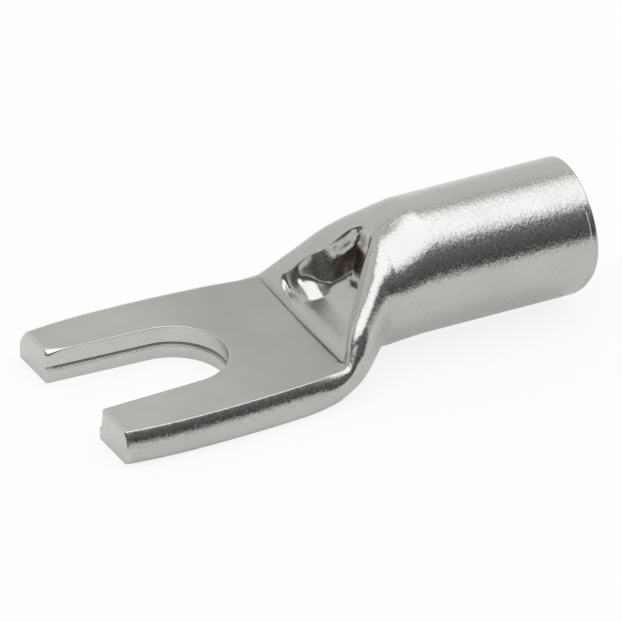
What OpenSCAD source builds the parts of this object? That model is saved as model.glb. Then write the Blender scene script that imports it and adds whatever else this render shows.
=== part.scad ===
// Fork terminal: a tube whose far end is pressed flat and slotted to slip under a stud's nut.
// X runs from the fork to the barrel, Z is up, and the origin is the centre of the slot's round end
// on the underside of the palm.

/* [Barrel] */
// Outside diameter of the round barrel
barrel_d = 6.6; // [5.6:0.1:8]
// Wall of the tube
barrel_wall = 1.1; // [0.7:0.05:1.4]
// Length of the barrel that is truly round
barrel_l = 8.5; // [6:0.1:14]
// Bevel around the outside of the mouth
mouth_outer_bevel = 0.2; // [0.05:0.05:0.4]
// Bevel around the inside of the mouth
mouth_inner_bevel = 0.25; // [0.05:0.05:0.4]

/* [Palm] */
// Thickness of the palm, two walls pressed together
palm_t = 1.7; // [1.4:0.05:2.4]
// Width of the palm where it is widest
palm_w = 11.8; // [10:0.1:14]
// Width across the prong tips
tip_w = 11.3; // [9.6:0.1:13]
// Width of the palm at the crease
root_w = 10.7; // [9:0.1:13]
// Distance from the slot's centre back to the widest place, towards the tips
widest_back = 1.7; // [0:0.1:3]
// Distance from the slot's centre to the crease across the palm
crease_ahead = 6.8; // [5:0.1:9]
// Run of the rounding along the upper edge
edge_run = 0.9; // [0.5:0.05:1.2]
// Run of the rounding along the lower edge
foot_run = 0.42; // [0.2:0.02:0.7]
// Height at which the side edge stands out furthest
edge_low = 0.45; // [0.3:0.05:0.7]
// Rounding of the prongs' end faces
tip_round = 0.25; // [0.1:0.05:0.4]

/* [Slot] */
// Width of the slot at its round end, a clearance fit on the stud
slot_w = 5.3; // [4.3:0.1:6.4]
// Width of the slot at the tips
mouth_w = 5.8; // [4.6:0.1:7]
// Distance from the slot's centre to the tips
slot_reach = 5.2; // [4:0.1:8]
// Opening of the seam between the two pressed walls
seam_gap = 0.1; // [0.06:0.02:0.2]
// Depth of the seam into the slot's wall
seam_depth = 0.12; // [0.06:0.02:0.3]

/* [Neck] */
// Distance before the crease at which the sides start to draw in
pinch_back = 1.1; // [0.4:0.1:2]
// Distance from the crease to where the sides and the underside are round
side_neck_l = 3.9; // [3:0.1:6]
// Distance from the crease to where the top is at full height
top_neck_l = 5.6; // [4.5:0.1:8]
// Rise of the ramp behind the crease for each millimetre of run
ramp_rise = 0.33; // [0.1:0.01:0.6]
// How early the two ridges climb, where 1 is a straight climb
ridge_climb = 1.78; // [1.2:0.02:2.4]
// How late the two ridges close in on each other
ridge_close = 1.22; // [0.8:0.02:1.8]
// How late the floor of the dish climbs
dish_depth = 2.2; // [1.4:0.1:3]
// Share of the dish that has a flat floor
dish_floor = 0.2; // [0:0.02:0.5]

/* [Hidden] */
$fn = 96;
barrel_r = barrel_d/2;
bore_d = barrel_d - 2*barrel_wall;
tip_x = -slot_reach;
widest_x = -widest_back;
crease_x = crease_ahead;
// The palm runs a little way under the foot of the ramp
palm_end_x = crease_x + 0.05;
pinch_x = crease_x - pinch_back;
side_x = crease_x + side_neck_l;
top_x = crease_x + top_neck_l;
mouth_x = top_x + barrel_l;
// Overlap of joined solids
lap = 0.3;
flat_lap = 0.1;
// Slack that keeps the skins of joined solids from lying in one plane
edge_slack = 0.006;
neck_slack = 0.012;
// Bevel of the flat at the tips
tip_bevel = 0.6*tip_round;
// Cuts run past the faces by this much
past = 1;
// Stations along the tips, the palm and the neck
tip_steps = 3;
palm_steps = 9;
neck_steps = 32;
// Points on half a section: the palm's edges, then the neck's lower curve, upper curve and dish
edge_steps = 6;
low_steps = 6;
up_steps = 11;
dish_steps = 11;
// Half width that stays flat under and over the neck until it blends into the circle
foot_least = 0.4;
ridge_least = 0.5;
// Angles on the circle that the lower curve and the ridges blend into
foot_angle = 82;
ridge_angle = 74;
// Length over which the neck blends into the circle
round_l = 0.4*top_neck_l;
// The hollow inside the neck: steps, points, least height and how far it leans back from the dish
hollow_steps = 12;
hollow_points = 36;
hollow_least = 0.08;
hollow_lean = 0.3*barrel_wall;
hollow_x = crease_x + 0.25*top_neck_l;

function share(a, b, x) = min(max((x - a)/(b - a), 0), 1);
function ease(q) = q*q*(3 - 2*q);
function mix(a, b, k) = a + (b - a)*k;

// How far the sides, and the top, have come from the palm to the barrel
function side_share(x) = ease(share(crease_x - lap, side_x, x));
function top_share(x) = share(crease_x, top_x, x);

// Half width of the outline seen from above
function palm_half(x) = x < widest_x
    ? mix(palm_w, tip_w, pow(share(widest_x, tip_x, x), 2))/2
    : mix(palm_w, root_w, pow(share(widest_x, crease_x, x), 2))/2;
function half_w(x) = mix(palm_half(x), barrel_r, ease(share(pinch_x, side_x, x)));

// Height of the widest line, half width of the flat underside
function side_z(x) = mix(edge_low, barrel_r, side_share(x));
function foot_y(x) = max((half_w(x) - foot_run)*(1 - side_share(x)), foot_least);

// The two ridges, and the floor of the dish between them
function ridge_y(x) = max((half_w(x) - edge_run)*(1 - ease(pow(top_share(x), ridge_close))), ridge_least);
function ridge_z(x) = mix(palm_t, barrel_d, 1 - pow(1 - top_share(x), ridge_climb));
function ramp_z(x) = ramp_rise*max(x - crease_x, 0)*pow(1 - top_share(x), 2);
function floor_z(x) = min(mix(palm_t, barrel_d, pow(ease(top_share(x)), dish_depth)) + ramp_z(x), ridge_z(x));

// Curves of half a section as [y, z]: round the lower edge, then up over the side to the ridge
function low_curve(x, steps) = [for (i = [0:steps]) let(u = 90*(1 - i/steps))
    [mix(foot_y(x), half_w(x), cos(u)), side_z(x)*(1 - sin(u))]];
function up_curve(x, steps) = [for (i = [1:steps]) let(u = 90*i/steps)
    [mix(ridge_y(x), half_w(x), cos(u)), mix(side_z(x), ridge_z(x), sin(u))]];
function dish_curve(x, steps) = [for (i = [1:steps]) let(v = 1 - i/steps)
    [ridge_y(x)*v, mix(floor_z(x), ridge_z(x), ease(share(dish_floor, 1, v)))]];

// Half a section from the middle of the underside round to the middle of the top
function pressed_half(x) = concat([[0, 0]], low_curve(x, low_steps), up_curve(x, up_steps), dish_curve(x, dish_steps));
round_angles = concat(
    [-90],
    [for (i = [0:low_steps]) -foot_angle*(1 - i/low_steps)],
    [for (i = [1:up_steps]) ridge_angle*i/up_steps],
    [for (i = [1:dish_steps]) mix(ridge_angle, 90, i/dish_steps)]);
round_half = [for (a = round_angles) [barrel_r*cos(a), barrel_r*(1 + sin(a))]];
function skin_half(x) = let(k = ease(share(top_x - round_l, top_x, x)), half = pressed_half(x))
    [for (i = [0:len(half) - 1]) mix(half[i], round_half[i], k)];

// A whole ring of the neck, drawn in by the slack all round
function neck_ring(x) = let(
    half = skin_half(x),
    last = len(half) - 1,
    draw_y = 1 - neck_slack/half_w(x),
    draw_z = 1 - 2*neck_slack/ridge_z(x))
    concat(
        [for (p = half) [x, -p[0]*draw_y, neck_slack + p[1]*draw_z]],
        [for (i = [last - 1:-1:1]) [x, half[i][0]*draw_y, neck_slack + half[i][1]*draw_z]]);

// A ring of the rounded edge on the near side, drawn in by inset where the end face is rounded
function edge_ring(x, inset) = let(
    inner = ridge_y(x) - lap,
    draw_y = 1 - inset/(half_w(x) - inner),
    draw_z = 1 - 2*(inset + edge_slack)/palm_t,
    curve = concat([[inner, 0]], low_curve(x, edge_steps), up_curve(x, edge_steps), [[inner, palm_t]]))
    [for (p = curve) [x, -inner - (p[0] - inner)*draw_y, inset + edge_slack + p[1]*draw_z]];

// A ring of the hollow: an ellipse between the lower wall and the dish
function hollow_ring(x) = let(
    low = mix(palm_t/2, barrel_wall, side_share(x)),
    high = max(floor_z(x - hollow_lean*(1 - top_share(x))) - barrel_wall, low + hollow_least),
    wide = half_w(x) - barrel_wall - neck_slack,
    tall = (high - low)/2 - neck_slack)
    [for (i = [0:hollow_points - 1]) let(a = 360*i/hollow_points)
        [x, -wide*cos(a), (high + low)/2 + tall*sin(a)]];

// A closed skin through rings of equal count, listed towards +X
module loft(rings) {
    n = len(rings[0]);
    last = len(rings) - 1;
    points = [for (ring = rings) each ring];
    sides = [for (j = [0:last - 1], i = [0:n - 1]) let(a = j*n + i, b = j*n + (i + 1)%n)
        each [[a, b, a + n], [b, b + n, a + n]]];
    caps = [[for (i = [n - 1:-1:0]) i], [for (i = [0:n - 1]) last*n + i]];
    polyhedron(points, concat(sides, caps), convexity = 6);
}

// The flat of the palm between its rounded edges, bevelled at the tips, with the slot cut out
module palm_flat() {
    stations = [for (i = [0:palm_steps]) mix(tip_x, palm_end_x, i/palm_steps)];
    difference() {
        intersection() {
            translate([0, 0, -past])
                linear_extrude(palm_t + 2*past)
                    polygon(concat(
                        [for (x = stations) [x, -ridge_y(x) - flat_lap]],
                        [for (i = [palm_steps:-1:0]) [stations[i], ridge_y(stations[i]) + flat_lap]]));
            rotate([90, 0, 0])
                linear_extrude(2*palm_w, center = true)
                    polygon([
                        [tip_x, tip_bevel],
                        [tip_x + tip_bevel, 0],
                        [palm_end_x, 0],
                        [palm_end_x, palm_t],
                        [tip_x + tip_bevel, palm_t],
                        [tip_x, palm_t - tip_bevel]]);
        }
        slot_cut(0, -past, palm_t + 2*past);
        slot_cut(seam_depth, (palm_t - seam_gap)/2, seam_gap);
    }
}

// The rounded edge along the near side of the palm
module palm_edge() {
    tip_rings = [for (i = [0:tip_steps - 1]) let(a = 90*(1 - i/tip_steps))
        edge_ring(tip_x + edge_slack + tip_round*(1 - sin(a)), tip_round*(1 - cos(a)))];
    side_rings = [for (i = [0:palm_steps]) edge_ring(mix(tip_x + edge_slack + tip_round, palm_end_x, i/palm_steps), 0)];
    loft(concat(tip_rings, side_rings));
}

module palm() {
    palm_flat();
    palm_edge();
    mirror([0, 1, 0])
        palm_edge();
}

module neck() {
    neck_rings = [for (i = [0:neck_steps]) neck_ring(mix(crease_x, top_x, i/neck_steps))];
    loft(concat([neck_ring(crease_x - lap)], neck_rings, [neck_ring(top_x + lap)]));
}

module along_x(x, z) {
    translate([x, 0, z])
        rotate([0, 90, 0])
            children();
}

module barrel() {
    along_x(top_x, barrel_r)
        rotate_extrude()
            polygon([
                [0, 0],
                [barrel_r, 0],
                [barrel_r, barrel_l - mouth_outer_bevel],
                [barrel_r - mouth_outer_bevel, barrel_l],
                [0, barrel_l]]);
}

module bore() {
    along_x(top_x, barrel_r)
        cylinder(d = bore_d, h = barrel_l + past);
    along_x(mouth_x - mouth_inner_bevel, barrel_r)
        cylinder(d1 = bore_d, d2 = bore_d + 4*mouth_inner_bevel, h = 2*mouth_inner_bevel);
}

module hollow() {
    neck_rings = [for (i = [0:hollow_steps]) hollow_ring(mix(hollow_x, top_x, i/hollow_steps))];
    loft(concat(neck_rings, [hollow_ring(top_x + lap)]));
}

// The slot's outline, grown outwards, from height z up by h
module slot_cut(grow, z, h) {
    translate([0, 0, z]) {
        cylinder(d = slot_w + 2*grow, h = h);
        linear_extrude(h)
            polygon([
                [0, slot_w/2 + grow],
                [tip_x, mouth_w/2 + grow],
                [tip_x - past, mouth_w/2 + grow],
                [tip_x - past, -mouth_w/2 - grow],
                [tip_x, -mouth_w/2 - grow],
                [0, -slot_w/2 - grow]]);
    }
}

module fork_terminal() {
    color("silver") {
        palm();
        difference() {
            union() {
                neck();
                barrel();
            }
            bore();
            hollow();
        }
    }
}

fork_terminal();
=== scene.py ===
"""Fork terminal in tinned copper: the dressed piece, its studio and the camera.

Sizes are in millimetres until the mesh is made, in the CAD frame: X from the fork to the barrel, Z up,
and the origin at the centre of the slot's round end on the underside of the palm.
"""

import math

import bmesh
import bpy
import numpy as np
from mathutils import Matrix, Vector


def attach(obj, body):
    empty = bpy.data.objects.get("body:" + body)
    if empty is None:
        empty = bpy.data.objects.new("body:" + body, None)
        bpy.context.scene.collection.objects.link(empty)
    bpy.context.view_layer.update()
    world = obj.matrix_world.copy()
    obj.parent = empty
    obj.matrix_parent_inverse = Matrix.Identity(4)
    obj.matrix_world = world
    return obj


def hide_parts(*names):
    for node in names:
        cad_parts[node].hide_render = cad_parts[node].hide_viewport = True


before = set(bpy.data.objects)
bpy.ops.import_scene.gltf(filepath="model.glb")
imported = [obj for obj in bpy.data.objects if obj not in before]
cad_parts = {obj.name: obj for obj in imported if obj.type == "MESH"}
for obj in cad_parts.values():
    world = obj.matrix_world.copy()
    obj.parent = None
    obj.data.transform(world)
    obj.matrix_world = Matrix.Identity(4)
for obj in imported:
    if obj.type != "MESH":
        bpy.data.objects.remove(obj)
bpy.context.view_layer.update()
MM = 0.001
NEAR, FAR = -1, 1

# ---------------------------------------------------------------- sizes of the terminal
barrel_d, barrel_wall, barrel_l = 6.6, 1.1, 8.5
palm_t, palm_w, tip_w, root_w = 1.7, 11.79, 11.3, 10.7
widest_back, crease_ahead, slot_reach = 1.7, 6.8, 5.2
edge_low = 0.45
slot_w, mouth_w = 5.3, 5.8
top_neck_l = 5.6

barrel_r = barrel_d / 2
bore_r = barrel_r - barrel_wall
tip_x, widest_x, crease_x = -slot_reach, -widest_back, crease_ahead
top_x = crease_x + top_neck_l
mouth_x = top_x + barrel_l
# Places of the sole's edge and of the ridge on the barrel's circle, in degrees from the widest line: where the
# neck meets the barrel, and further along, where the points are spread evenly
foot_angle, ridge_angle = 82.0, 74.0
even_foot, even_ridge = 52.0, 42.0

# Width of the rounding at the palm's top edge and at its foot; the far side is rounder above and sharper below
edge_run, foot_run = {NEAR: 0.43, FAR: 0.78}, {NEAR: 0.36, FAR: 0.06}
# The prongs' ends: their rounding above and below, and the heights between which it changes
tip_round, tip_round_low = 0.18, 0.04
tip_low_z, tip_high_z = 0.9, 1.4
# The punched slot: the rounding of its upper edge, the wear of that edge at the far tip, and its lower edge
roll_run, roll_drop = 0.045, 0.035
roll_worn, worn_l, worn_fall = 0.5, 0.6, 0.45
foot_edge = 0.06
# The seam between the tube's two walls; the lower wall stands proud of the upper one, most at the near tip
seam_z, seam_gap, seam_depth, seam_lip, seam_corner = 0.76, 0.15, 0.07, 0.05, 0.01
lower_proud, tip_proud, tip_proud_l, proud_taper, ledge_fall = 0.05, 0.2, 0.6, 0.15, 0.25
# The rounding inside the mouth
rim_inner = 0.2
# The line that the press left across the palm, and how far inside the dish's lip and the crest it fades
groove_w, groove_depth = 0.045, 0.05
groove_in_lip, groove_in_crest = 0.05, 0.02

# Points along and across the mesh
rows_prong, rows_side = 42, 30
crest_steps, wall_steps, floor_steps = 8, 26, 8
rows_crease = crest_steps + wall_steps + floor_steps
columns_flat = 12
steps_low, steps_up = 22, 28
roll_steps, seam_steps, face_steps, tip_steps, rim_steps = 7, 3, 4, 7, 6
stations_barrel, steps_bore, steps_hollow = 44, 12, 22


def share(a, b, x):
    """How far x has come from a to b, from 0 to 1."""
    return min(max((x - a) / (b - a), 0.0), 1.0)


def ease(q):
    """A share that starts and ends gently."""
    return q * q * (3 - 2 * q)


def mix(a, b, k):
    return a + (b - a) * k


def bell(x, middle, width):
    return math.exp(-(((x - middle) / width) ** 2))


def quarter_turn(steps, first=0):
    """Angles of a quarter turn in equal steps, in radians."""
    return [math.radians(90 * i / steps) for i in range(first, steps + 1)]


def curve(*points):
    """A smooth line through (place, size) points that never overshoots, and stays level beyond its ends."""
    xs, ys = [p[0] for p in points], [p[1] for p in points]
    steps = [(ys[i + 1] - ys[i]) / (xs[i + 1] - xs[i]) for i in range(len(xs) - 1)]
    slopes = [steps[0]] + [
        0.0 if a * b <= 0 else 2 * a * b / (a + b) for a, b in zip(steps, steps[1:])
    ] + [steps[-1]]

    def at(x):
        if x <= xs[0]:
            return ys[0]
        if x >= xs[-1]:
            return ys[-1]
        i = next(k for k in range(len(xs) - 1) if x <= xs[k + 1])
        run = xs[i + 1] - xs[i]
        t = (x - xs[i]) / run
        return (
            ys[i] * (1 + 2 * t) * (1 - t) ** 2
            + slopes[i] * run * t * (1 - t) ** 2
            + ys[i + 1] * t * t * (3 - 2 * t)
            + slopes[i + 1] * run * t * t * (t - 1)
        )

    return at


# ---------------------------------------------------------------- form of the pressed tube
def palm_half(x):
    """Half width of the palm's outline seen from above."""
    if x < widest_x:
        return mix(palm_w, tip_w, share(widest_x, tip_x, x) ** 2) / 2
    return mix(palm_w, root_w, share(widest_x, crease_x, x) ** 2) / 2


# The sole starts to narrow here, and a little further on the outline leaves the palm's
sole_narrows, neck_starts = 4.2, 5.0
neck_half = curve(
    (neck_starts, palm_half(neck_starts)), (5.7, 5.48), (6.2, 5.4), (6.66, 5.25), (7.0, 5.1), (7.3, 4.97),
    (7.8, 4.74), (8.4, 4.33), (9.0, 3.86), (9.5, 3.5), (9.9, 3.32), (10.1, barrel_r))
# Height of the widest line, and half width of the flat underside
side_z = curve(
    (sole_narrows, edge_low), (5.0, 0.52), (5.7, 0.7), (6.2, 0.9), (6.66, 1.15), (7.0, 1.35), (7.5, 1.6),
    (8.4, 2.08), (9.0, 2.5), (9.5, 2.95), (9.9, 3.22), (10.15, barrel_r))
neck_foot = curve(
    (sole_narrows, palm_half(sole_narrows) - foot_run[NEAR]), (5.0, 5.1), (5.7, 4.88), (6.2, 4.66),
    (6.66, 4.38), (7.0, 4.15), (7.5, 3.75), (8.0, 3.2), (8.4, 2.7), (9.0, 1.75), (9.5, 0.95), (9.9, 0.5),
    (10.1, 0.45))
# The far side is drawn in a little more where the palm ends, and its sharper foot ends between these places
far_waist, waist_x, waist_l = 0.16, 5.8, 1.0
sharp_to, soft_from = 3.5, 6.5
# The ridges on the two sides: half width and height of the crest
ridge_ys = {
    NEAR: curve(
        (neck_starts, palm_half(neck_starts) - edge_run[NEAR]), (5.7, 4.98), (6.3, 4.92), (6.66, 4.86),
        (6.86, 4.72), (7.05, 4.42), (7.32, 3.98), (7.7, 3.63), (8.05, 3.3), (8.5, 2.83), (9.0, 2.25),
        (9.5, 1.72), (10.0, 1.15), (10.2, 0.84), (10.4, 0.5)),
    FAR: curve(
        (neck_starts, palm_half(neck_starts) - edge_run[FAR]), (5.7, 4.66), (6.2, 4.56), (6.66, 4.42),
        (7.2, 4.0), (7.6, 3.69), (8.0, 3.33), (8.5, 2.8), (9.0, 2.25), (9.5, 1.74), (10.0, 1.3), (10.2, 1.14),
        (10.4, 0.98)),
}
roof = ((10.0, 5.57), (10.4, 5.8), (10.8, 5.98), (11.4, 6.26), (11.9, 6.47), (12.15, 6.55), (top_x, barrel_d))
ridge_zs = {
    NEAR: curve(
        (6.4, palm_t), (6.7, 1.74), (6.88, 1.95), (7.05, 2.3), (7.32, 2.85), (7.7, 3.28), (8.05, 3.58),
        (8.5, 3.98), (9.0, 4.54), (9.5, 5.12), *roof),
    FAR: curve(
        (6.0, palm_t), (6.5, 1.76), (6.95, 1.88), (7.2, 2.1), (7.6, 2.56), (8.0, 3.07), (8.5, 3.78),
        (9.0, 4.55), (9.5, 5.15), *roof),
}
# The roof is slightly arched where the dish ends
crown = curve((10.0, 0.0), (10.4, 0.03))
# The dish between the ridges: half width of its lip and of the foot of its wall, and the height of its floor
dish_end = 10.4
dish_lips = {
    NEAR: curve(
        (6.0, 4.5), (6.86, 4.55), (7.05, 4.28), (7.28, 3.95), (7.76, 3.15), (8.4, 2.46), (9.05, 1.77),
        (9.75, 1.13), (10.2, 0.68), (dish_end, 0.38)),
    FAR: curve(
        (6.0, 4.2), (6.66, 4.05), (7.0, 3.8), (7.4, 3.4), (7.93, 2.95), (8.49, 2.35), (8.88, 1.58),
        (9.13, 1.28), (9.46, 1.07), (9.87, 0.88), (10.17, 0.62), (dish_end, 0.45)),
}
dish_feet = {
    NEAR: curve(
        (6.0, 3.9), (6.86, 4.0), (7.05, 3.85), (7.3, 3.5), (7.76, 2.75), (8.4, 1.95), (9.05, 1.1), (9.75, 0.5),
        (10.2, 0.3), (dish_end, 0.2)),
    FAR: curve(
        (6.0, 0.4), (6.8, 0.8), (7.1, 1.1), (7.3, 1.9), (7.5, 2.5), (7.7, 1.8), (7.93, 1.32), (8.49, 1.08),
        (8.88, 0.82), (9.13, 0.54), (9.5, 0.25), (dish_end, 0.1)),
}
dish_floor = curve(
    (crease_x, palm_t), (7.2, 1.78), (7.6, 1.84), (8.0, 1.9), (8.5, 2.03), (8.8, 2.22), (9.1, 2.54),
    (9.5, 2.85), (9.82, 3.08), (9.97, 3.9), (10.05, 4.72), (10.12, 4.9), (10.2, 5.32), (10.31, 5.67),
    (dish_end, 5.8))
# The far wall from its lip at 0 to its foot at 1, as shares of its run and of its height. It turns steep with
# a broad apron at its foot, whose height is apron_rise; deep in the dish it is folded over, and it ends plain.
steep_share = curve((7.6, 0.0), (8.0, 1.0))
apron_rise = curve((7.9, 0.42), (8.2, 0.34), (8.49, 0.25), (8.88, 0.15), (9.2, 0.1))
apron_from = 0.66
steep_y = curve(
    (0, 1), (0.12, 0.94), (0.3, 0.87), (0.55, 0.76), (0.66, 0.68), (0.8, 0.42), (0.97, 0.03), (1, 0))
steep_z = curve((0, 1), (0.12, 0.97), (0.3, 0.76), (0.55, 0.16), (apron_from, 0))
apron_z = curve((apron_from, 1), (0.8, 0.62), (0.95, 0.1), (1, 0))
fold_from, fold_to = 8.68, 9.2
plain_from, shaped_to = dish_end - 0.05, 10.05
fold_y = curve(
    (0, 1), (0.12, 0.93), (0.25, 0.82), (0.38, 0.7), (0.46, 0.66), (0.6, 0.68), (0.78, 0.69), (0.9, 0.5),
    (1, 0))
fold_z = curve(
    (0, 1), (0.12, 0.95), (0.25, 0.82), (0.38, 0.7), (0.46, 0.62), (0.6, 0.36), (0.78, 0.1), (0.9, 0.03),
    (1, 0))


def half_w(x, side):
    """Half width at the widest line."""
    half = neck_half(x) if x > neck_starts else palm_half(x)
    return half - (far_waist * bell(x, waist_x, waist_l) if side == FAR else 0.0)


def foot_y(x, side):
    """Half width of the flat underside."""
    tight = (foot_run[NEAR] - foot_run[side]) * (1 - ease(share(sharp_to, soft_from, x)))
    return (neck_foot(x) if x > sole_narrows else palm_half(x) - foot_run[NEAR]) + tight


def ridge_y(x, side):
    """Half width of the flat top, and further on of the ridge."""
    return ridge_ys[side](x) if x > neck_starts else palm_half(x) - edge_run[side]


def floor_z(x, side):
    return min(dish_floor(x), ridge_zs[side](x)) if x < dish_end else ridge_zs[side](x)


def wall_rise(q, foot=0.15, lip=0.15):
    """Height up the dish's wall from its foot at 0 to its lip at 1: straight, with rounded ends."""
    if q < foot:
        rise = q * q / (2 * foot)
    elif q < 1 - lip:
        rise = q - foot / 2
    else:
        rise = 1 - foot / 2 - lip / 2 - (1 - q) ** 2 / (2 * lip)
    return rise / (1 - foot / 2 - lip / 2)


def top_z(x, y, side):
    """Height of the pressed top: the crest outside, the wall of the dish, and its floor."""
    outer, inner, crest = dish_lips[side](x), dish_feet[side](x), ridge_y(x, side)
    z = mix(floor_z(x, side), ridge_zs[side](x), wall_rise(share(inner, outer, y)))
    z += crown(x) * (1 - min(y / crest, 1) ** 2)
    groove = groove_depth * bell(x, crease_x, groove_w)
    return z - groove * (1 - ease(share(outer - groove_in_lip, crest - groove_in_crest, y)))


# Radius of the upper side edge by its lean, from the flat top at 0 to the upright side at 90
edge_radius = {
    NEAR: curve((0, 0.04), (40, 0.05), (52, 0.12), (59, 0.95), (68, 1.1), (78, 2.4), (90, 2.6)),
    FAR: curve((0, 0.44), (36, 0.44), (56, 1.5), (90, 1.5)),
}


def edge_turns(steps, radius):
    """Shape of the upper side edge, from (1, 0) at the widest line to (0, 1) at the flat top."""
    fine = 40
    turn = 90.0 / (steps * fine)
    lean, y, z, points = 90.0, 0.0, 0.0, [(0.0, 0.0)]
    for i in range(steps * fine):
        bow = radius(lean) * math.radians(turn)
        y += bow * math.cos(math.radians(lean - turn / 2))
        z += bow * math.sin(math.radians(lean - turn / 2))
        lean -= turn
        if (i + 1) % fine == 0:
            points.append((y, z))
    return [(1 - p[0] / y, p[1] / z) for p in points]


# The palm's tight edge turns into the neck's round one between these places
tight_edge = {side: edge_turns(steps_up, edge_radius[side]) for side in (NEAR, FAR)}
round_edge = [(math.cos(a), math.sin(a)) for a in quarter_turn(steps_up)]
tight_to, round_from = 6.4, 8.2


def low_curve(x, side):
    """Half a section from the flat underside round to the widest line, as (y, z)."""
    turns = [math.radians(90 * (1 - i / steps_low)) for i in range(steps_low + 1)]
    foot, half, height = foot_y(x, side), half_w(x, side), side_z(x)
    return [(mix(foot, half, math.cos(u)), height * (1 - math.sin(u))) for u in turns]


def up_curve(x, side):
    """From the widest line up to the flat top or the ridge."""
    k = ease(share(tight_to, round_from, x))
    line = []
    for a, b in zip(tight_edge[side][1:], round_edge[1:]):
        out, rise = mix(a[0], b[0], k), mix(a[1], b[1], k)
        line.append((mix(ridge_y(x, side), half_w(x, side), out), mix(side_z(x), ridge_zs[side](x), rise)))
    return line


def dish_ys_at(x, side):
    """Places across the top from the ridge to the middle."""
    start, outer, inner = ridge_y(x, side), dish_lips[side](x), dish_feet[side](x)
    return (
        [mix(start, outer, i / crest_steps) for i in range(1, crest_steps + 1)]
        + [mix(outer, inner, i / wall_steps) for i in range(1, wall_steps + 1)]
        + [inner * (1 - i / floor_steps) for i in range(1, floor_steps + 1)]
    )


def dish_curve(x, side):
    """From the ridge over the crest, down the wall and in along the floor; the far wall has its own shape."""
    line = [(y, top_z(x, y, side)) for y in dish_ys_at(x, side)]
    shaped = steep_share(x) * ease(share(plain_from, shaped_to, x)) if side == FAR else 0.0
    if shaped > 0:
        outer, inner = dish_lips[side](x), dish_feet[side](x)
        low, high = floor_z(x, side), ridge_zs[side](x)
        folded = ease(share(fold_from, fold_to, x))
        for i in range(1, wall_steps + 1):
            y, z = line[crest_steps - 1 + i]
            q = i / wall_steps
            steep = mix(apron_rise(x) * apron_z(q), 1, steep_z(q))
            wall_y = mix(inner, outer, mix(steep_y(q), fold_y(q), folded))
            wall_z = mix(low, high, mix(steep, fold_z(q), folded))
            line[crest_steps - 1 + i] = (mix(y, wall_y, shaped), mix(z, wall_z, shaped))
    return line


def sole_curve(x, side):
    """From the middle of the underside out to the foot of the lower curve."""
    return [(foot_y(x, side) * i / rows_crease, 0.0) for i in range(rows_crease)]


def round_angles(foot, ridge):
    """Angles on a circle for the points of half a section, in degrees from the widest line."""
    return (
        [mix(-90, -foot, i / rows_crease) for i in range(rows_crease)]
        + [-foot * (1 - i / steps_low) for i in range(steps_low + 1)]
        + [ridge * i / steps_up for i in range(1, steps_up + 1)]
        + [mix(ridge, 90, i / rows_crease) for i in range(1, rows_crease + 1)]
    )


pressed_angles = round_angles(foot_angle, ridge_angle)
even_angles = round_angles(even_foot, even_ridge)
barrel_half = [
    (barrel_r * math.cos(math.radians(a)), barrel_r + barrel_r * math.sin(math.radians(a)))
    for a in pressed_angles
]


def skin_half(x, side):
    """Half a section of the neck; beyond the dish it swells steadily into the barrel's circle."""
    at = min(x, dish_end)
    pressed = sole_curve(at, side) + low_curve(at, side) + up_curve(at, side) + dish_curve(at, side)
    rise = ridge_zs[side]
    k = share(rise(dish_end), barrel_d, rise(max(x, dish_end)))
    return [(mix(p[0], c[0], k), mix(p[1], c[1], k)) for p, c in zip(pressed, barrel_half)]


def both_sides(x, near, far):
    """A whole ring from two half sections whose first and last points lie on the middle plane."""
    return [(x, -y, z) for y, z in near] + [(x, y, z) for y, z in far[-2:0:-1]]


# ---------------------------------------------------------------- mesh
class Skin:
    """Points and faces of the piece; sheets that share a border are welded at the end."""

    def __init__(self):
        self.points, self.faces, self.finishes = [], [], []

    def sheet(self, lines, finish, closed=False):
        """A grid of faces over lines of equally many points.

        The finish is a number, or a function of the line and the place on it.
        """
        start, n = len(self.points), len(lines[0])
        for line in lines:
            self.points.extend(line)
        for j in range(len(lines) - 1):
            for i in range(n if closed else n - 1):
                a, b = start + j * n + i, start + j * n + (i + 1) % n
                self.faces.append((a, b, b + n, a + n))
                self.finishes.append(finish(j, i) if callable(finish) else finish)

    def fan(self, ring, finish):
        """Closes a ring with faces to its middle."""
        start, n = len(self.points), len(ring)
        self.points.extend(ring)
        self.points.append(tuple(np.mean(np.array(ring), axis=0)))
        for i in range(n):
            self.faces.append((start + i, start + (i + 1) % n, start + n))
            self.finishes.append(finish)


SKIN, CUT, BORE, PRESSED = 0, 1, 2, 3
skin = Skin()

# The slot's outline on one side: a flared straight, tangent to the round end
flare = math.atan((mouth_w - slot_w) / 2 / slot_reach)
arc_start = math.pi / 2 - flare
# From this angle on, the lines from the round end run to the crease and no longer to the side edge
arc_corner = math.radians(34)
slot_r = slot_w / 2
arc_x, arc_y = slot_r * math.cos(arc_start), slot_r * math.sin(arc_start)
flat_tip_x = tip_x + tip_round
# The rows lie closer together towards the tip
row_growth = 1.3


def slot_rows():
    """Rows from the tip round to the middle.

    Each has (x, y) on the slot's wall, (x, y) of the direction into the metal, and x of the side edge.
    """
    rows = []
    for i in range(rows_prong):
        k = i / rows_prong
        x = mix(flat_tip_x, arc_x, k**row_growth)
        y = arc_y + (arc_x - x) * math.tan(flare)
        into_x = k * math.cos(arc_start)
        rows.append(((x, y), (into_x, math.sqrt(1 - into_x**2)), x))
    turns = [mix(arc_start, arc_corner, i / rows_side) for i in range(rows_side)]
    turns += [mix(arc_corner, 0, i / rows_crease) for i in range(rows_crease + 1)]
    for i, a in enumerate(turns):
        x = mix(arc_x, crease_x, min(i / rows_side, 1))
        rows.append(((slot_r * math.cos(a), slot_r * math.sin(a)), (math.cos(a), math.sin(a)), x))
    return rows


rows = slot_rows()
row_corner = rows_prong + rows_side
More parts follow.
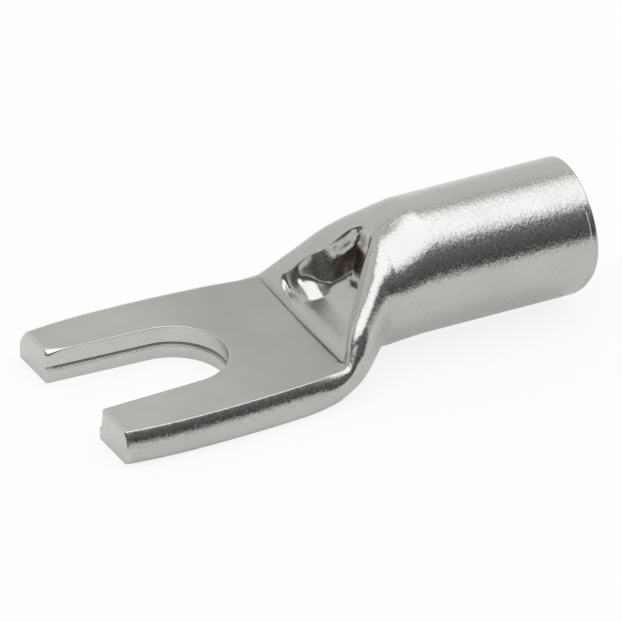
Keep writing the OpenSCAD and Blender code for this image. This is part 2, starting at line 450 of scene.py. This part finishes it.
# Places across the flat, closer together at both borders
spread = [0.0, 0.012, 0.03]
spread += [mix(0.06, 0.86, i / columns_flat) for i in range(columns_flat + 1)]
spread += [0.9, 0.93, 0.955, 0.972, 0.984, 0.992, 1.0]


def wall_profile(x, side):
    """The punched wall from the top to the underside, as (distance into the metal, z)."""
    bend = quarter_turn(seam_steps, 1)
    worn = roll_worn * bell(x, tip_x, worn_l) if side == FAR else 0.0
    run, drop = roll_run + worn, roll_drop + worn_fall * worn
    top = [(run * (1 - math.sin(a)), palm_t - drop * (1 - math.cos(a))) for a in quarter_turn(roll_steps)]
    lip_z, low_z = seam_z + seam_gap / 2, seam_z - seam_gap / 2
    wall = [
        (0.0, mix(palm_t - drop, lip_z + seam_lip, i / face_steps)) for i in range(1, face_steps + 1)]
    upper_lip = [(seam_lip * (1 - math.cos(a)), lip_z + seam_lip * (1 - math.sin(a))) for a in bend]
    root = [
        (seam_depth, lip_z - seam_corner), (seam_depth + seam_corner, seam_z),
        (seam_depth, low_z + seam_corner)]
    proud = -lower_proud - (tip_proud * math.exp(-((x - tip_x) / tip_proud_l)) if side == NEAR else 0.0)
    ledge_z = low_z + ledge_fall * proud
    lower_lip = [
        (proud + seam_lip * (1 - math.sin(a)), ledge_z - seam_lip * (1 - math.cos(a))) for a in [0] + bend]
    lower = [
        (proud * (1 - proud_taper * i / face_steps), mix(ledge_z - seam_lip, foot_edge, i / face_steps))
        for i in range(1, face_steps + 1)
    ]
    foot = [
        ((1 - proud_taper) * proud + foot_edge * (1 - math.cos(a)), foot_edge * (1 - math.sin(a)))
        for a in bend
    ]
    return top + wall + upper_lip + root + lower_lip + lower + foot


def wall_lines(side):
    """Lines down the slot's wall, one for each row."""
    return [
        [(wall[0] + into[0] * d, side * (wall[1] + into[1] * d), z) for d, z in wall_profile(wall[0], side)]
        for wall, into, _ in rows
    ]


def flat_lines(walls, end, outer_y, ring, height, side):
    """Lines across the palm from the slot's edge to the side edge and the crease.

    The slot's edge is one end of the wall's lines.
    """
    lines = []
    for i, (_, _, x) in enumerate(rows):
        start = walls[i][end]
        stop = (x, outer_y(x)) if i <= row_corner else (crease_x, ring[i - row_corner - 1])
        line = [start]
        for k in spread[1:]:
            x_k, y_k = mix(start[0], stop[0], k), mix(abs(start[1]), stop[1], k)
            line.append((x_k, side * y_k, height(x_k, y_k)))
        lines.append(line)
    return lines


def edge_lines(side):
    """Lines round the palm's side edge, from the underside up to the flat top."""
    return [
        [(x, side * y, z) for y, z in low_curve(x, side) + up_curve(x, side)]
        for _, _, x in rows[: row_corner + 1]
    ]


def prong_end(top, edge, bottom, wall):
    """Closes a prong with a flat end face that has rounded edges."""
    least_half = 0.2
    loop = np.array(top[0][:-1] + edge[0][:0:-1] + bottom[0][:0:-1] + wall[0][:0:-1])
    low, high = loop.min(0), loop.max(0)
    middle, half = (low + high) / 2, (high - low) / 2
    rings = []
    inset = np.interp(loop[:, 2], [tip_low_z, tip_high_z], [tip_round_low, tip_round])[:, None]
    for a in quarter_turn(tip_steps):
        ring = middle + (loop - middle) * (1 - inset * (1 - math.cos(a)) / np.maximum(half, least_half))
        ring[:, 0] = tip_x + tip_round * (1 - math.sin(a))
        rings.append(ring)
    for k in (0.97, 0.9, 0.7, 0.45, 0.2):
        ring = middle + (rings[tip_steps] - middle) * k
        ring[:, 0] = tip_x
        rings.append(ring)
    rings = [[tuple(p) for p in ring] for ring in rings]
    skin.sheet(rings, CUT, closed=True)
    skin.fan(rings[-1], CUT)


for side in (NEAR, FAR):
    walls, edges = wall_lines(side), edge_lines(side)
    top = flat_lines(
        walls, 0, lambda x: ridge_y(x, side), dish_ys_at(crease_x, side), lambda x, y: top_z(x, y, side), side)
    sole = [foot_y(crease_x, side) * (1 - i / rows_crease) for i in range(1, rows_crease + 1)]
    bottom = flat_lines(walls, -1, lambda x: foot_y(x, side), sole, lambda x, y: 0.0, side)
    skin.sheet(top, PRESSED)
    skin.sheet(bottom, PRESSED)
    skin.sheet(walls, CUT)
    skin.sheet(edges, SKIN)
    prong_end(top, edges, bottom, walls)


# How far the mouth's edge lies back from a square cut, by the angle round the barrel: 90 on top, 180 near,
# 270 below
mouth_back = curve(
    (0, 0.3), (60, 0.06), (72, 0.02), (82, 0.0), (128, 0.0), (135, 0.025), (138.5, 0.0), (172, 0.0),
    (177, 0.01), (189, 0.06), (198, 0.13), (209, 0.27), (219, 0.4), (226, 0.52), (250, 0.6), (290, 0.55),
    (360, 0.3))
# The rounding of its outer edge, by the same angle
mouth_round = curve(
    (0, 0.1), (60, 0.05), (130, 0.05), (136, 0.05), (139, 0.05), (215, 0.07), (250, 0.12), (360, 0.12))
# The burr on the near side of the mouth stands off behind a fine line, which fades at both ends
burr_from, burr_to, burr_fade_in, burr_fade_out = 138.0, 232.0, 4, 12
burr_back, burr_w, burr_depth = 0.26, 0.06, 0.035


def round_angle(angle, side):
    """The angle round the whole barrel for an angle on one side."""
    return 180 - angle if side == NEAR else angle % 360


def burr(angle, back):
    """Depth of the line in front of the burr, at a distance back from the mouth's edge."""
    starts = ease(share(burr_from, burr_from + burr_fade_in, angle))
    ends = ease(share(burr_to, burr_to - burr_fade_out, angle))
    return burr_depth * (starts * ends) * bell(back, burr_back, burr_w)


def barrel_ring(radius, place, k=1.0, turn=0.0):
    """A ring of the barrel; place gives x from the x of the mouth's edge and its rounding at the same angle."""
    halves = {}
    for side in (NEAR, FAR):
        halves[side] = []
        for a, b in zip(pressed_angles, even_angles):
            angle = mix(a, b, k)
            around = round_angle(angle, side)
            edge, soft = mouth_x - mouth_back(around), mouth_round(around)
            x = place(edge, soft)
            line = burr(around, edge - x) if radius == barrel_r else 0.0
            r = radius - soft * (1 - math.cos(turn)) - line
            halves[side].append(
                (x, side * r * math.cos(math.radians(angle)), barrel_r + r * math.sin(math.radians(angle))))
    return halves[NEAR] + halves[FAR][-2:0:-1]


# Stretches of the neck: start, end and number of rings
neck_stretches = ((crease_x, 6.9, 7), (6.9, 7.6, 20), (7.6, 9.8, 46), (9.8, 10.5, 30), (10.5, top_x, 26))
neck_stations = [mix(a, b, i / n) for a, b, n in neck_stretches for i in range(n)] + [top_x]
neck_rings = [both_sides(x, skin_half(x, NEAR), skin_half(x, FAR)) for x in neck_stations]
# The barrel's points are spread evenly over its first part; near the mouth the rings are closer for the burr
spread_pace, end_back = 1.5, 0.5
end_stations = (0.16, 0.28, 0.37, 0.44, 0.5, 0.56, 0.62, 0.69, 0.78, 0.9, 1.0)
barrel_rings = [
    barrel_ring(barrel_r, lambda edge, soft: mix(top_x, edge - end_back, q), ease(min(spread_pace * q, 1)))
    for q in (i / stations_barrel for i in range(1, stations_barrel + 1))
]
barrel_rings += [
    barrel_ring(barrel_r, lambda edge, soft: edge - mix(end_back, soft, q)) for q in end_stations
]
rim_turns = quarter_turn(rim_steps, 1)
rim_rings = [
    barrel_ring(barrel_r, lambda edge, soft: edge - soft * (1 - math.sin(a)), turn=a) for a in rim_turns
]
inner_rings = [
    barrel_ring(bore_r + rim_inner * (1 - math.sin(a)), lambda edge, soft: edge - rim_inner * (1 - math.cos(a)))
    for a in [0] + rim_turns
]
bore_rings = [
    barrel_ring(bore_r, lambda edge, soft: mix(edge - rim_inner, top_x, i / steps_bore))
    for i in range(steps_bore + 1)
]
# The hollow inside the neck, an ellipse between the lower wall and the dish
hollow_x = 9.2
hollow_high = curve((hollow_x, 1.05), (9.8, 1.5), (10.4, 2.7), (11.2, 4.3), (top_x, barrel_d - barrel_wall))
hollow_low = curve((hollow_x, 0.9), (10.0, 0.98), (top_x, barrel_wall))
hollow_wide = curve((hollow_x, 2.2), (10.0, 2.15), (top_x, bore_r))


def hollow_ring(x):
    """A ring of the hollow."""
    low, high, wide = hollow_low(x), hollow_high(x), hollow_wide(x)
    half = [
        (wide * math.cos(math.radians(a)), (high + low) / 2 + (high - low) / 2 * math.sin(math.radians(a)))
        for a in even_angles
    ]
    return both_sides(x, half, half)


hollow_rings = [hollow_ring(mix(top_x, hollow_x, i / steps_hollow)) for i in range(steps_hollow + 1)]

crest_at = rows_crease + steps_low + steps_up
ring_points = len(neck_rings[0])


def neck_finish(ring, place):
    """The dish with its crest and the flat sole are pressed smooth; the outside keeps the drawn tube's skin."""
    if ring >= len(neck_stations) or neck_stations[ring] >= dish_end:
        return SKIN
    in_dish = crest_at <= place < ring_points - crest_at
    in_sole = place < rows_crease or place >= ring_points - rows_crease
    return PRESSED if in_dish or in_sole else SKIN


skin.sheet(neck_rings + barrel_rings + rim_rings, neck_finish, closed=True)
skin.sheet([rim_rings[-1]] + inner_rings, CUT, closed=True)
skin.sheet([inner_rings[-1]] + bore_rings[1:] + hollow_rings[1:], BORE, closed=True)
skin.fan(hollow_rings[-1], BORE)


def build_piece():
    """One closed, smooth mesh from the sheets, in metres."""
    weld, sliver = 0.002 * MM, 0.0005 * MM
    mesh = bpy.data.meshes.new("fork_terminal_skin")
    mesh.from_pydata([tuple(c * MM for c in p) for p in skin.points], [], skin.faces)
    mesh.polygons.foreach_set("material_index", skin.finishes)
    work = bmesh.new()
    work.from_mesh(mesh)
    bmesh.ops.remove_doubles(work, verts=work.verts, dist=weld)
    bmesh.ops.dissolve_degenerate(work, edges=work.edges, dist=sliver)
    bmesh.ops.recalc_face_normals(work, faces=work.faces)
    for face in work.faces:
        face.smooth = True
    work.to_mesh(mesh)
    work.free()
    piece = bpy.data.objects.new("tinned_terminal", mesh)
    bpy.context.scene.collection.objects.link(piece)
    return piece


piece = build_piece()


# ---------------------------------------------------------------- finishes
def link(tree, output, target):
    tree.links.new(output, target)


def add(tree, kind, **values):
    """A new node with some of its settings."""
    node = tree.nodes.new(kind)
    for name, value in values.items():
        setattr(node, name, value)
    return node


def math_node(tree, operation, a, b=None):
    """A sum on two values, each a number or a node's output."""
    node = add(tree, "ShaderNodeMath", operation=operation)
    for socket, value in zip(node.inputs, (a, b)):
        if value is None:
            continue
        if isinstance(value, (int, float)):
            socket.default_value = value
        else:
            link(tree, value, socket)
    return node.outputs[0]


def smooth_range(tree, value, low, high):
    """Runs smoothly from 0 at the first limit to 1 at the second."""
    node = add(tree, "ShaderNodeMapRange", interpolation_type="SMOOTHSTEP")
    node.inputs["From Min"].default_value = low
    node.inputs["From Max"].default_value = high
    link(tree, value, node.inputs["Value"])
    return node.outputs[0]


def inside(tree, *limits):
    """A mask for where every (value, first limit, second limit) is past its second limit."""
    mask = None
    for limit in limits:
        step = smooth_range(tree, *limit)
        mask = step if mask is None else math_node(tree, "MULTIPLY", mask, step)
    return mask


def mix_colour(tree, factor, a, b):
    """Mixes two colours, each a tuple or a node's output."""
    node = add(tree, "ShaderNodeMix", data_type="RGBA")
    link(tree, factor, node.inputs["Factor"])
    for socket, value in ((node.inputs["A"], a), (node.inputs["B"], b)):
        if isinstance(value, tuple):
            socket.default_value = value
        else:
            link(tree, value, socket)
    return node.outputs["Result"]


def split_axes(tree, place):
    """The x, y and z of a place."""
    axes = add(tree, "ShaderNodeSeparateXYZ")
    link(tree, place, axes.inputs[0])
    return axes.outputs


def noise(tree, place, detail, roughness=0.5):
    """Noise with features of about one unit of the place."""
    node = add(tree, "ShaderNodeTexNoise")
    node.inputs["Scale"].default_value = 1.0
    node.inputs["Detail"].default_value = detail
    node.inputs["Roughness"].default_value = roughness
    link(tree, place, node.inputs["Vector"])
    return node.outputs["Fac"]


def new_group(name, inputs, outputs):
    """An empty node group with float inputs (name, value) and float outputs."""
    tree = bpy.data.node_groups.new(name, "ShaderNodeTree")
    for label, value in inputs:
        socket = tree.interface.new_socket(label, in_out="INPUT", socket_type="NodeSocketFloat")
        socket.default_value = value
    for label in outputs:
        tree.interface.new_socket(label, in_out="OUTPUT", socket_type="NodeSocketFloat")
    place = add(tree, "ShaderNodeTexCoord").outputs["Object"]
    return tree, add(tree, "NodeGroupInput").outputs, add(tree, "NodeGroupOutput").inputs, place


PER_M = 1000.0


def plating_grain():
    """Grain of the plating: a drawn pattern with one size along the tube and one around it, and fine crystals.

    On the palm, which is pressed, the grain is lower than on the drawn tube.
    """
    palm_relief, drawn_from = 0.5, 8.6
    speck_low, speck_high = 0.35, 0.68
    tree, given, out, place = new_group(
        "plating_grain",
        [("Along per mm", 6.0), ("Around per mm", 3.0), ("Crystals per mm", 8.0), ("Crystal share", 0.5)],
        ["Height", "Speck"],
    )

    def grain(labels, detail):
        size = add(tree, "ShaderNodeCombineXYZ")
        for axis, label in zip("XYZ", labels):
            link(tree, math_node(tree, "MULTIPLY", given[label], PER_M), size.inputs[axis])
        scaled = add(tree, "ShaderNodeVectorMath", operation="MULTIPLY")
        link(tree, place, scaled.inputs[0])
        link(tree, size.outputs[0], scaled.inputs[1])
        return noise(tree, scaled.outputs[0], detail, 0.55)

    drawn = grain(("Along per mm", "Around per mm", "Around per mm"), 3.0)
    crystals = grain(("Crystals per mm",) * 3, 2.0)
    height = math_node(tree, "ADD", drawn, math_node(tree, "MULTIPLY", crystals, given["Crystal share"]))
    drawn_tube = smooth_range(tree, split_axes(tree, place)["X"], crease_x * MM, drawn_from * MM)
    relief = math_node(tree, "ADD", math_node(tree, "MULTIPLY", drawn_tube, 1 - palm_relief), palm_relief)
    link(tree, math_node(tree, "MULTIPLY", height, relief), out["Height"])
    link(tree, smooth_range(tree, crystals, speck_low, speck_high), out["Speck"])
    return tree


def soft_tone():
    """Slow changes of tone over a few millimetres, as handling leaves on tin."""
    tree, given, out, place = new_group("soft_tone", [("Per mm", 0.35)], ["Tone"])
    scaled = add(tree, "ShaderNodeVectorMath", operation="SCALE")
    link(tree, place, scaled.inputs[0])
    link(tree, math_node(tree, "MULTIPLY", given["Per mm"], PER_M), scaled.inputs["Scale"])
    link(tree, noise(tree, scaled.outputs[0], 4.0), out["Tone"])
    return tree


def shade_and_dull_masks():
    """Masks for painted shade in the pocket, the crease and the seam that the press left, and for duller tin,
    with limits in millimetres.

    Pocket is painted dark brown shade deep in the folded dish's pocket, Line a painted shade line in the crease
    across the palm, Seam a painted shade line in the gap between the two walls in the slot, and Dull the duller
    tin at the palm's root and on the near crest.
    """
    fold_slope, floor_slope = 0.95, 0.667
    tree, _, out, place = new_group("shade_and_dull_masks", [], ["Pocket", "Line", "Seam", "Dull"])
    scaled = add(tree, "ShaderNodeVectorMath", operation="SCALE")
    scaled.inputs["Scale"].default_value = PER_M
    link(tree, place, scaled.inputs[0])
    x, y, z = split_axes(tree, scaled.outputs[0])

    # The pocket's painted shade lies between a slanting plane under the fold and one over the dish's floor
    below_fold = math_node(tree, "SUBTRACT", z, math_node(tree, "MULTIPLY", x, fold_slope))
    above_floor = math_node(tree, "SUBTRACT", z, math_node(tree, "MULTIPLY", x, floor_slope))
    pocket = inside(
        tree, (x, 8.8, 9.15), (x, 10.12, 10.02), (y, -1.1, -0.7), (y, 1.3, 1.1),
        (below_fold, -4.63, -4.78), (above_floor, -3.3, -3.05))
    link(tree, pocket, out["Pocket"])

    # The line across the palm is painted shade in the crease over the pressed groove
    off_crease = math_node(tree, "ABSOLUTE", math_node(tree, "SUBTRACT", x, crease_x))
    off_middle = math_node(tree, "ABSOLUTE", y)
    line = inside(tree, (off_crease, 0.06, 0.015), (z, 1.85, 1.75), (z, 1.3, 1.5), (off_middle, 4.85, 4.5))
    link(tree, line, out["Line"])

    # The seam's painted shade line starts behind the prongs' ends and ends at the slot's round end
    off_seam = math_node(tree, "ABSOLUTE", math_node(tree, "SUBTRACT", z, seam_z))
    seam = inside(
        tree, (off_seam, seam_gap * 0.7, seam_gap * 0.3), (x, tip_x + 0.22, tip_x + 0.5),
        (x, crease_x, slot_w / 2))
    link(tree, seam, out["Seam"])

    near_crest = inside(tree, (z, 2.4, 2.8), (y, -0.6, -1.4))
    root_or_crest = math_node(tree, "MAXIMUM", smooth_range(tree, x, 7.2, crease_x), near_crest)
    dull = math_node(tree, "MULTIPLY", smooth_range(tree, x, -widest_back, 4.0), root_or_crest)
    link(tree, dull, out["Dull"])
    return tree


GRAIN, TONE, MARKS = plating_grain(), soft_tone(), shade_and_dull_masks()
# The second colour is painted dark brown shade deep in the dish's pocket; the third is painted shade for the
# lines in the palm's crease and in the slot's seam
DULL_TIN, POCKET_SHADE, PAINTED_SHADE_LINE = (0.3, 0.3, 0.275, 1), (0.3, 0.2, 0.15, 1), (0.12, 0.118, 0.11, 1)
pocket_shade_shows, line_shows = 0.75, 0.7


def tin(name, dark, light, roughness, grain, bump_um, mark="Line", dulled=0.0):
    """A plated finish: two tones of tin, a range of roughness, and the grain's size along and around and height.

    The mark is the painted shade line on it, and dulled is how much its dull places show.
    """
    material = bpy.data.materials.new(name)
    material.use_nodes = True
    tree = material.node_tree
    shader = tree.nodes["Principled BSDF"]
    shader.inputs["Metallic"].default_value = 1.0
    grains = add(tree, "ShaderNodeGroup", node_tree=GRAIN)
    grains.inputs["Along per mm"].default_value = grain[0]
    grains.inputs["Around per mm"].default_value = grain[1]
    tone = add(tree, "ShaderNodeGroup", node_tree=TONE)
    marks = add(tree, "ShaderNodeGroup", node_tree=MARKS)
    colour = mix_colour(tree, tone.outputs["Tone"], (*dark, 1), (*light, 1))
    # Over the tin go duller tin, painted shade deep in the pocket, and the mark's painted shade line
    for label, strength, dulling_and_shade in (
        ("Dull", dulled, DULL_TIN), ("Pocket", pocket_shade_shows, POCKET_SHADE), (mark, line_shows, PAINTED_SHADE_LINE)
    ):
        shows = math_node(tree, "MULTIPLY", marks.outputs[label], strength)
        colour = mix_colour(tree, shows, colour, dulling_and_shade)
    link(tree, colour, shader.inputs["Base Color"])
    rough = add(tree, "ShaderNodeMapRange")
    rough.inputs["To Min"].default_value = roughness[0]
    rough.inputs["To Max"].default_value = roughness[1]
    link(tree, grains.outputs["Speck"], rough.inputs["Value"])
    link(tree, rough.outputs[0], shader.inputs["Roughness"])
    bump = add(tree, "ShaderNodeBump")
    bump.inputs["Strength"].default_value = 1.0
    bump.inputs["Distance"].default_value = bump_um * 1e-6
    link(tree, grains.outputs["Height"], bump.inputs["Height"])
    link(tree, bump.outputs[0], shader.inputs["Normal"])
    return material


# In the order of SKIN, CUT, BORE and PRESSED
for finish in (
    tin("bright_tin", (0.455, 0.453, 0.43), (0.555, 0.553, 0.526), (0.15, 0.3), (6.0, 3.2), 13.0),
    tin("sheared_tin", (0.54, 0.538, 0.512), (0.62, 0.617, 0.588), (0.24, 0.3), (4.0, 4.0), 1.2, "Seam"),
    tin("bore_tin", (0.42, 0.413, 0.39), (0.5, 0.492, 0.466), (0.25, 0.4), (6.0, 6.0), 6.0),
    tin(
        "pressed_tin", (0.43, 0.429, 0.402), (0.57, 0.569, 0.534), (0.16, 0.25), (3.0, 3.0), 4.0,
        dulled=0.38),
):
    piece.data.materials.append(finish)

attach(piece, "root")
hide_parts("fork_terminal")


# ---------------------------------------------------------------- studio
def make_floor():
    """White paper under the part, which partly glows where the camera or a reflection sees it."""
    half, drop = 3.0, -0.02 * MM
    glow_to_camera, glow_in_metal = 0.85, 0.45
    mesh = bpy.data.meshes.new("studio_floor")
    corners = [(-half, -half, drop), (half, -half, drop), (half, half, drop), (-half, half, drop)]
    mesh.from_pydata(corners, [], [(0, 1, 2, 3)])
    floor = bpy.data.objects.new("studio_floor", mesh)
    bpy.context.scene.collection.objects.link(floor)
    material = bpy.data.materials.new("white_floor")
    material.use_nodes = True
    tree = material.node_tree
    paper = tree.nodes["Principled BSDF"]
    paper.inputs["Base Color"].default_value = (0.93, 0.93, 0.93, 1)
    paper.inputs["Roughness"].default_value = 0.9
    paper.inputs["Specular IOR Level"].default_value = 0.0
    glow = add(tree, "ShaderNodeEmission")
    glow.inputs["Color"].default_value = (1, 1, 1, 1)
    glow.inputs["Strength"].default_value = 1.0
    path = add(tree, "ShaderNodeLightPath").outputs
    mirrored = math_node(tree, "MAXIMUM", path["Is Glossy Ray"], path["Is Transmission Ray"])
    direct = math_node(tree, "MULTIPLY", path["Is Camera Ray"], glow_to_camera)
    seen = math_node(tree, "MAXIMUM", direct, math_node(tree, "MULTIPLY", mirrored, glow_in_metal))
    blend = add(tree, "ShaderNodeMixShader")
    link(tree, seen, blend.inputs[0])
    link(tree, paper.outputs[0], blend.inputs[1])
    link(tree, glow.outputs[0], blend.inputs[2])
    link(tree, blend.outputs[0], tree.nodes["Material Output"].inputs["Surface"])
    mesh.materials.append(material)


def make_world():
    """A white studio: paper behind that dims upwards, a softbox that leans, a dark room beyond the camera."""
    box_lean = math.radians(5.4)
    camera_x, camera_y = -0.46, -0.888
    paper_below, paper_above = (0.86, 0.86, 0.86, 1), (0.56, 0.56, 0.56, 1)
    room_below, room_above = (0.066, 0.072, 0.071, 1), (0.155, 0.17, 0.168, 1)
    softbox, white = (1.85, 1.87, 1.92, 1), (1, 1, 1, 1)
    world = bpy.data.worlds.new("studio")
    bpy.context.scene.world = world
    world.use_nodes = True
    tree = world.node_tree
    x, y, z = split_axes(tree, add(tree, "ShaderNodeTexCoord").outputs["Generated"])

    def slanted(operation, a, a_share, b, b_share):
        parts = math_node(tree, "MULTIPLY", a, a_share), math_node(tree, "MULTIPLY", b, b_share)
        return math_node(tree, operation, *parts)

    height = slanted("SUBTRACT", z, math.cos(box_lean), y, math.sin(box_lean))
    toward = slanted("ADD", x, camera_x, y, camera_y)
    paper = mix_colour(tree, smooth_range(tree, height, 0.58, 0.82), paper_below, paper_above)
    dark = mix_colour(tree, smooth_range(tree, z, 0.0, 0.6), room_below, room_above)
    room = mix_colour(tree, smooth_range(tree, toward, 0.0, 0.3), paper, dark)
    # The softbox has a crisper edge at the back than at the front
    back_edge = smooth_range(tree, height, 0.805, 0.83)
    front_edge = smooth_range(tree, height, 0.745, 0.865)
    behind = smooth_range(tree, y, -0.06, 0.06)
    crisper = math_node(tree, "MULTIPLY", math_node(tree, "SUBTRACT", back_edge, front_edge), behind)
    lit = mix_colour(tree, math_node(tree, "ADD", front_edge, crisper), room, softbox)
    path = add(tree, "ShaderNodeLightPath").outputs
    shown = mix_colour(tree, path["Is Camera Ray"], lit, white)
    background = tree.nodes["Background"]
    link(tree, shown, background.inputs["Color"])
    background.inputs["Strength"].default_value = 1.0


def make_camera():
    """The photograph's view: from the fork's near side, a third of the way up, with a long lens."""
    turn, lift, roll = math.radians(27.3556), math.radians(30.6097), math.radians(0.193)
    pixels, per_mm, distance = 622, 21.2427, 900.0
    seen_point, seen_at = Vector((7.825, 0, 2.5)), (320.628, 301.913)
    back = Vector((-math.sin(turn) * math.cos(lift), -math.cos(turn) * math.cos(lift), math.sin(lift)))
    right = Vector((math.cos(turn), -math.sin(turn), 0))
    up = back.cross(right)
    right, up = (
        right * math.cos(roll) + up * math.sin(roll),
        up * math.cos(roll) - right * math.sin(roll),
    )
    off_x, off_y = (pixels / 2 - seen_at[0]) / per_mm, (seen_at[1] - pixels / 2) / per_mm
    target = seen_point + right * off_x + up * off_y
    data = bpy.data.cameras.new("camera")
    data.sensor_width = 36.0
    data.lens = data.sensor_width * distance / (pixels / per_mm)
    data.clip_start, data.clip_end = 0.05, 20.0
    camera = bpy.data.objects.new("camera", data)
    bpy.context.scene.collection.objects.link(camera)
    axes = Matrix((right, up, back)).transposed().to_4x4()
    axes.translation = (target + back * distance) * MM
    camera.matrix_world = axes
    bpy.context.scene.camera = camera


make_floor()
make_world()
make_camera()
bpy.context.scene.view_settings.view_transform = "Standard"
